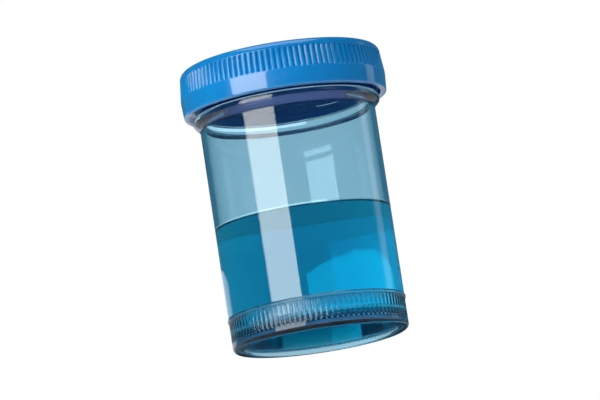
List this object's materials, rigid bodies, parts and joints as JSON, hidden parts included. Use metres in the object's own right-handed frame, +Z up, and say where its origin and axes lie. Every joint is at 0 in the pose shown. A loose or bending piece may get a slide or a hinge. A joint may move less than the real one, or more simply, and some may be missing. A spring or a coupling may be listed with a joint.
{
  "type": "specimen jar",
  "caption": "Clear straight-walled screw-top specimen jar with a finely ribbed blue cap, a ribbed grip band at its foot and a blue liquid sample inside.",
  "frame": {"origin": "centre of the foot, on the surface that the jar stands on", "axes": "+Z up along the jar's axis, from the foot to the cap; the jar is round, so +X and +Y are free"},
  "size_m": [0.058, 0.058, 0.0805],
  "materials": {
    "clear_plastic": "clear, glossy, moulded",
    "blue_sample": "clear liquid, dyed blue",
    "blue_plastic": "glossy, moulded",
    "seal_foam": "soft, matte, blue"
  },
  "bodies": {
    "jar": {"jar": "clear_plastic", "liquid": "blue_sample"},
    "seal": {"seal_ring": "seal_foam"},
    "cap": {"screw_cap": "blue_plastic"}
  },
  "joints": [
    {"name": "cap_rise", "type": "slide", "parent": "jar", "child": "seal", "axis": [0, 0, 1], "range_m": [0, 0.017]},
    {"name": "cap_turn", "type": "hinge", "parent": "seal", "child": "cap", "pos_m": [0, 0, 0.0789], "axis": [0, 0, 1], "range_deg": [0, 1440]}
  ],
  "couplings": [
    {"joint": "cap_rise", "follows": "cap_turn", "m_per_rad": 0.00066845}
  ]
}
